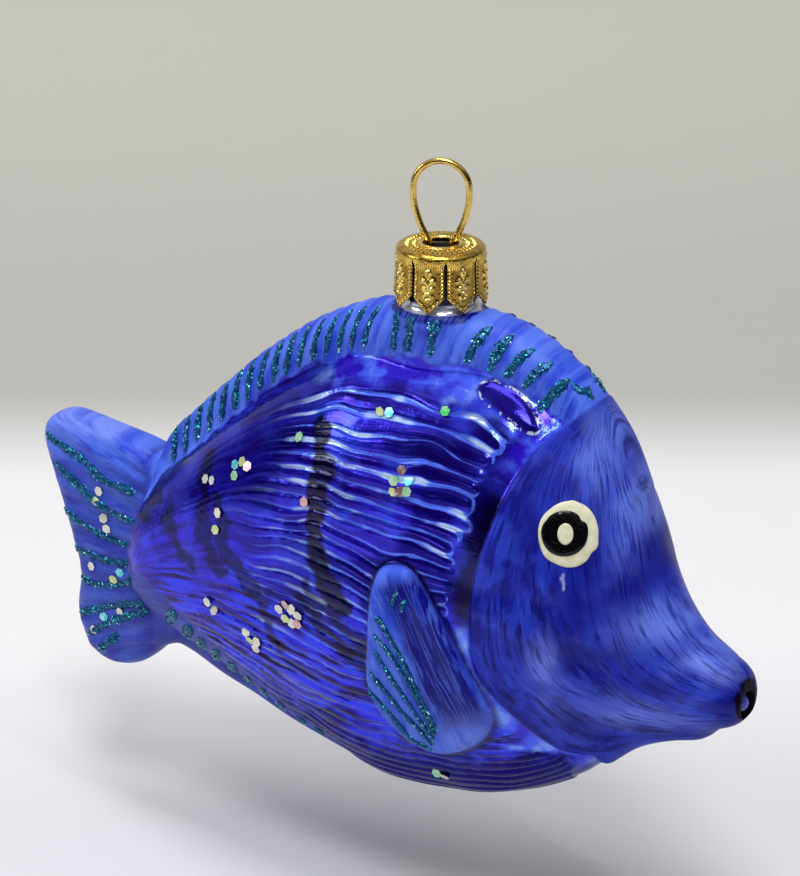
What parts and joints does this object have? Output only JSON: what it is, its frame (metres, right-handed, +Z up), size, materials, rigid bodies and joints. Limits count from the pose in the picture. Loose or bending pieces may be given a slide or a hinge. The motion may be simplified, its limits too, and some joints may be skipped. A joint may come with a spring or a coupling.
{
  "type": "hanging glass fish ornament",
  "caption": "Hollow blown-glass reef fish that hangs from a wire loop in a pull-off stamped metal cap.",
  "frame": {"origin": "hang point, the inside of the top of the wire loop", "axes": "+X to the snout, +Y to the fish's left, +Z up, along the neck and the loop"},
  "size_m": [0.1272, 0.0398, 0.1017],
  "materials": {
    "lacquered_glass": "silvered inside, clear deep blue lacquer over the flanks, satin blue paint on head and fins",
    "gold_cap": "stamped, gold plated, bright",
    "gold_wire": "gold plated spring wire, bright",
    "cream_enamel": "hand painted enamel, satin",
    "black_enamel": "hand painted enamel, gloss",
    "teal_glitter": "glue bead full of fine teal glitter"
  },
  "bodies": {
    "hanger": {"hanger_wire": "gold_wire"},
    "cap": {"crown_cap": "gold_cap"},
    "glass": {"glass_body": "lacquered_glass", "eye_white_right": "cream_enamel", "eye_black_right": "black_enamel", "eye_glint_right": "cream_enamel", "eye_white_left": "cream_enamel", "eye_black_left": "black_enamel", "eye_glint_left": "cream_enamel", "fin_glitter_right": "teal_glitter", "fin_glitter_left": "teal_glitter", "back_ray_right_01": "teal_glitter", "back_ray_right_02": "teal_glitter", "back_ray_right_03": "teal_glitter", "back_ray_right_04": "teal_glitter", "back_ray_right_05": "teal_glitter", "back_ray_right_06": "teal_glitter", "back_ray_right_07": "teal_glitter", "back_ray_right_08": "teal_glitter", "back_ray_right_09": "teal_glitter", "back_ray_right_10": "teal_glitter", "back_ray_right_11": "teal_glitter", "back_ray_right_12": "teal_glitter", "back_ray_right_13": "teal_glitter", "back_ray_right_14": "teal_glitter", "back_ray_right_15": "teal_glitter", "back_ray_right_16": "teal_glitter", "back_ray_right_17": "teal_glitter", "back_ray_right_18": "teal_glitter", "back_ray_right_19": "teal_glitter", "back_ray_right_20": "teal_glitter", "back_ray_right_21": "teal_glitter", "back_ray_right_22": "teal_glitter", "back_ray_right_23": "teal_glitter", "back_ray_left_01": "teal_glitter", "back_ray_left_02": "teal_glitter", "back_ray_left_03": "teal_glitter", "back_ray_left_04": "teal_glitter", "back_ray_left_05": "teal_glitter", "back_ray_left_06": "teal_glitter", "back_ray_left_07": "teal_glitter", "back_ray_left_08": "teal_glitter", "back_ray_left_09": "teal_glitter", "back_ray_left_10": "teal_glitter", "back_ray_left_11": "teal_glitter", "back_ray_left_12": "teal_glitter", "back_ray_left_13": "teal_glitter", "back_ray_left_14": "teal_glitter", "back_ray_left_15": "teal_glitter", "back_ray_left_16": "teal_glitter", "back_ray_left_17": "teal_glitter", "back_ray_left_18": "teal_glitter", "back_ray_left_19": "teal_glitter", "back_ray_left_20": "teal_glitter", "back_ray_left_21": "teal_glitter", "back_ray_left_22": "teal_glitter", "back_ray_left_23": "teal_glitter"}
  },
  "joints": [
    {"name": "hanger_turn", "type": "hinge", "parent": "hanger", "child": "cap", "pos_m": [0, 0, -0.012], "axis": [0, 0, 1], "continuous": true},
    {"name": "cap_pull", "type": "slide", "parent": "cap", "child": "glass", "axis": [0, 0, -1], "range_m": [0, 0.018]}
  ]
}
